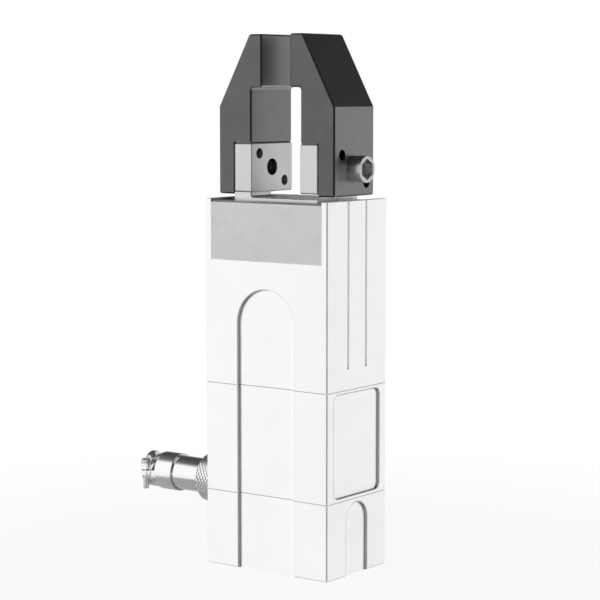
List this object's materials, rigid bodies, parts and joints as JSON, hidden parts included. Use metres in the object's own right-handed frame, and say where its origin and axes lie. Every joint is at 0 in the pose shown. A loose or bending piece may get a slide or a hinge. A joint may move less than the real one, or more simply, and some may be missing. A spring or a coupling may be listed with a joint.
{
  "type": "electric parallel gripper",
  "caption": "Slim upright electric gripper with two sliding jaws, stepped black fingers and a screwed cable plug at its side.",
  "frame": {"origin": "centre of the body's bottom face", "axes": "+Z from the base to the fingertips, +X the way the right jaw opens, -Y the wide front face"},
  "size_m": [0.0819, 0.03, 0.1569],
  "materials": {
    "white_paint": "satin",
    "bare_aluminium": "fine blasted",
    "jaw_steel": "fine ground",
    "black_anodised": "satin",
    "screw_steel": "bright",
    "slider_steel": "ground",
    "rail_steel": "hard ground",
    "gear_steel": "hardened",
    "plated_brass": "bright plated",
    "motor_steel": "satin",
    "black_plastic": "matt",
    "gold_contact": "plated",
    "board_green": "lacquered",
    "chip_black": "matt",
    "standoff_brass": "bright"
  },
  "bodies": {
    "housing": {"lower_housing": "white_paint", "middle_housing": "white_paint", "upper_housing": "white_paint", "guide_block": "bare_aluminium", "front_guide_rail": "rail_steel", "rear_guide_rail": "rail_steel", "rail_screws": "screw_steel", "motor_plate": "bare_aluminium", "plate_screws": "screw_steel", "gearhead": "motor_steel", "gearhead_screws": "screw_steel", "motor": "motor_steel", "encoder_cover": "black_plastic", "bearing_outer_ring": "gear_steel", "tie_screws": "screw_steel", "control_board": "board_green", "board_components": "chip_black", "board_standoffs": "standoff_brass", "board_screws": "screw_steel", "panel_socket": "plated_brass", "socket_nut": "plated_brass", "socket_insert": "black_plastic", "socket_contacts": "gold_contact", "coupling_ring": "plated_brass", "plug_front_shell": "plated_brass", "plug_insert": "black_plastic", "plug_rear_shell": "plated_brass", "cable_clamp": "plated_brass", "clamp_screws": "screw_steel"},
    "left_jaw": {"left_slider": "slider_steel", "left_rack": "gear_steel", "left_rack_screws": "screw_steel", "left_carriage": "rail_steel", "left_carriage_caps": "black_plastic", "left_carriage_screws": "screw_steel", "left_jaw_block": "jaw_steel", "left_jaw_screws": "screw_steel", "left_finger": "black_anodised", "left_finger_screw": "screw_steel", "left_dowel_pins": "gear_steel"},
    "right_jaw": {"right_slider": "slider_steel", "right_rack": "gear_steel", "right_rack_screws": "screw_steel", "right_carriage": "rail_steel", "right_carriage_caps": "black_plastic", "right_carriage_screws": "screw_steel", "right_jaw_block": "jaw_steel", "right_jaw_screws": "screw_steel", "right_finger": "black_anodised", "right_finger_screw": "screw_steel", "right_dowel_pins": "gear_steel"},
    "drive": {"drive_shaft": "gear_steel", "pinion": "gear_steel", "pinion_screw": "screw_steel", "bearing_inner_ring": "gear_steel", "bearing_balls": "gear_steel"}
  },
  "joints": [
    {"name": "left_jaw_slide", "type": "slide", "parent": "housing", "child": "left_jaw", "axis": [-1, 0, 0], "range_m": [-0.005, 0.005]},
    {"name": "right_jaw_slide", "type": "slide", "parent": "housing", "child": "right_jaw", "axis": [1, 0, 0], "range_m": [-0.005, 0.005]},
    {"name": "pinion_turn", "type": "hinge", "parent": "housing", "child": "drive", "pos_m": [0, 0, 0.1], "axis": [0, 0, 1], "range_deg": [-57.4, 57.4]}
  ],
  "couplings": [
    {"joint": "right_jaw_slide", "follows": "left_jaw_slide", "ratio": 1},
    {"joint": "pinion_turn", "follows": "left_jaw_slide", "rad_per_m": -200}
  ]
}
